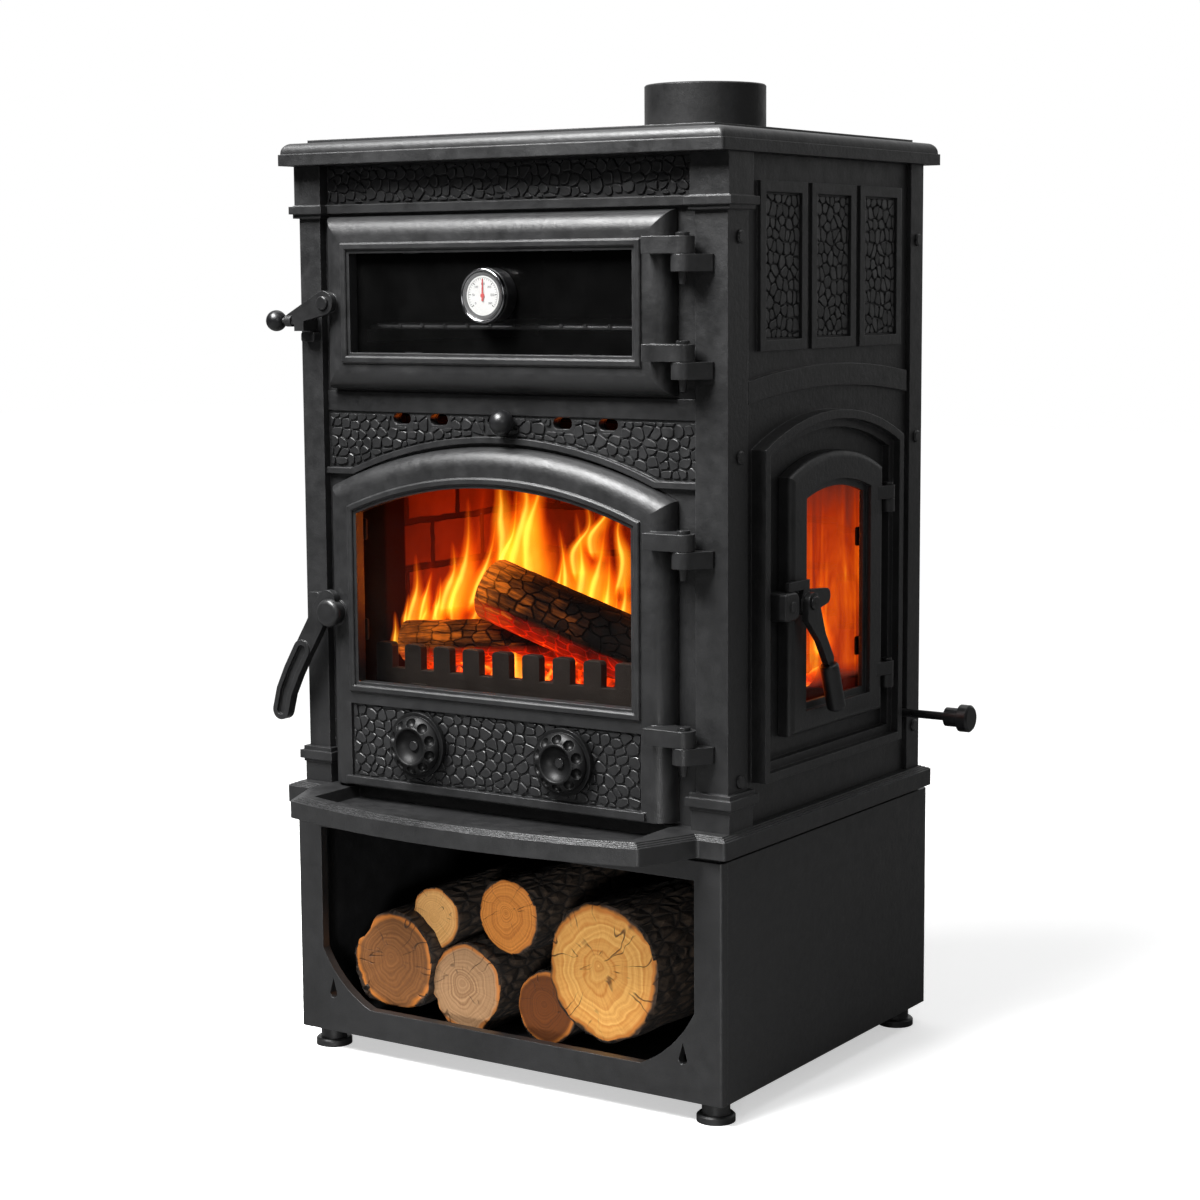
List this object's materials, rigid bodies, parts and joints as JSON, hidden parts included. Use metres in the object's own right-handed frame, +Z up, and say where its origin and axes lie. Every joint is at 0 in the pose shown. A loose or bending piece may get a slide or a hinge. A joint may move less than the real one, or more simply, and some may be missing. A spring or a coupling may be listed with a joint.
{
  "type": "wood stove with oven",
  "caption": "Cast iron wood stove with a glazed fire door, a glazed oven door with thermometer, an arched side door, an ash lip, a top flue collar and an open log store.",
  "frame": {"origin": "middle of the stove's overall footprint at the floor, under the levelling feet", "axes": "+Z up, the doors face -Y, the side door and riddle rod are at +X"},
  "size_m": [0.718, 0.625, 1.168],
  "materials": {
    "casing": "satin black",
    "front_casting": "satin black",
    "collar_casting": "satin black",
    "lever_casting": "satin black",
    "fixings": "blackened",
    "grips": "satin black",
    "rod": "satin black",
    "rack_wire": "drawn",
    "glass": "clear",
    "seal": "woven cord",
    "clip_steel": "pressed",
    "gauge_case": "turned",
    "dial": "matt",
    "lens": "clear",
    "needle": "matt",
    "oven_sheet": "satin",
    "grate_iron": "bare, heat-greyed",
    "firebrick": "rough",
    "feet_iron": "satin black"
  },
  "bodies": {
    "stove": {"base_cabinet": "casing", "base_front": "front_casting", "levelling_feet": "feet_iron", "hearth_plate": "casing", "front_frame": "front_casting", "side_panel_left": "casing", "side_panel_right": "casing", "back_panel": "casing", "panel_bolts": "fixings", "top_plate": "casing", "flue_collar": "collar_casting", "flue_bolts": "fixings", "frame_hinge_lugs": "front_casting", "front_hinge_pins": "fixings", "door_catches": "front_casting", "side_hinge_lugs": "front_casting", "side_hinge_pins": "fixings", "side_latch_bracket": "front_casting", "oven_box": "oven_sheet", "oven_rack_supports": "rack_wire", "oven_rack": "rack_wire", "firebox_floor": "grate_iron", "grate": "grate_iron", "log_comb": "grate_iron", "firebrick_back": "firebrick", "firebricks_side": "firebrick", "baffle_plate": "firebrick", "ash_pan": "oven_sheet"},
    "oven_door": {"oven_door_frame": "front_casting", "oven_door_glass": "glass", "oven_door_seal": "seal", "oven_glass_clips": "clip_steel", "gauge_body": "gauge_case", "gauge_dial": "dial", "gauge_lens": "lens", "oven_latch_screw": "fixings"},
    "oven_latch": {"oven_latch_lever": "lever_casting", "oven_latch_ball": "grips"},
    "gauge_pointer": {"gauge_needle": "needle"},
    "fire_door": {"fire_door_frame": "front_casting", "fire_door_glass": "glass", "fire_door_seal": "seal", "fire_glass_clips": "clip_steel", "fire_handle_cap": "lever_casting", "air_wheel_spindles": "fixings"},
    "fire_handle": {"fire_handle": "lever_casting"},
    "air_wheel_left": {"air_wheel_left": "lever_casting"},
    "air_wheel_right": {"air_wheel_right": "lever_casting"},
    "side_door": {"side_door_frame": "front_casting", "side_door_glass": "glass", "side_door_seal": "seal", "side_glass_clips": "clip_steel", "side_latch_screw": "fixings"},
    "side_latch": {"side_latch_lever": "lever_casting", "side_latch_grip": "grips"},
    "air_slide": {"air_slide": "oven_sheet", "air_knob": "grips"},
    "riddle": {"riddle_plate": "grate_iron", "riddle_rod": "rod", "riddle_knob": "grips"}
  },
  "joints": [
    {"name": "oven_door_hinge", "type": "hinge", "parent": "stove", "child": "oven_door", "pos_m": [0.2205, -0.1995, 0.901], "axis": [0, 0, 1], "range_deg": [0, 110]},
    {"name": "fire_door_hinge", "type": "hinge", "parent": "stove", "child": "fire_door", "pos_m": [0.2205, -0.1995, 0.532], "axis": [0, 0, 1], "range_deg": [0, 110]},
    {"name": "side_door_hinge", "type": "hinge", "parent": "stove", "child": "side_door", "pos_m": [0.275, 0.1765, 0.566], "axis": [0, 0, 1], "range_deg": [0, 100]},
    {"name": "oven_latch_turn", "type": "hinge", "parent": "oven_door", "child": "oven_latch", "pos_m": [-0.271, -0.202, 0.907], "axis": [0, 1, 0], "range_deg": [0, 70]},
    {"name": "fire_handle_turn", "type": "hinge", "parent": "fire_door", "child": "fire_handle", "pos_m": [-0.269, -0.2008, 0.541], "axis": [0, 1, 0], "range_deg": [0, 45]},
    {"name": "side_latch_turn", "type": "hinge", "parent": "side_door", "child": "side_latch", "pos_m": [0.287, -0.0395, 0.571], "axis": [1, 0, 0], "range_deg": [-60, 0]},
    {"name": "air_wheel_left_turn", "type": "hinge", "parent": "fire_door", "child": "air_wheel_left", "pos_m": [-0.147, -0.201, 0.392], "axis": [0, 1, 0], "range_deg": [0, 360]},
    {"name": "air_wheel_right_turn", "type": "hinge", "parent": "fire_door", "child": "air_wheel_right", "pos_m": [0.059, -0.201, 0.392], "axis": [0, 1, 0], "range_deg": [0, 360]},
    {"name": "gauge_needle_turn", "type": "hinge", "parent": "oven_door", "child": "gauge_pointer", "pos_m": [-0.041, -0.2033, 0.915], "axis": [0, 1, 0], "range_deg": [-120, 120]},
    {"name": "air_slide_travel", "type": "slide", "parent": "stove", "child": "air_slide", "axis": [1, 0, 0], "range_m": [-0.027, 0]},
    {"name": "riddle_travel", "type": "slide", "parent": "stove", "child": "riddle", "axis": [1, 0, 0], "range_m": [0, 0.03]}
  ]
}
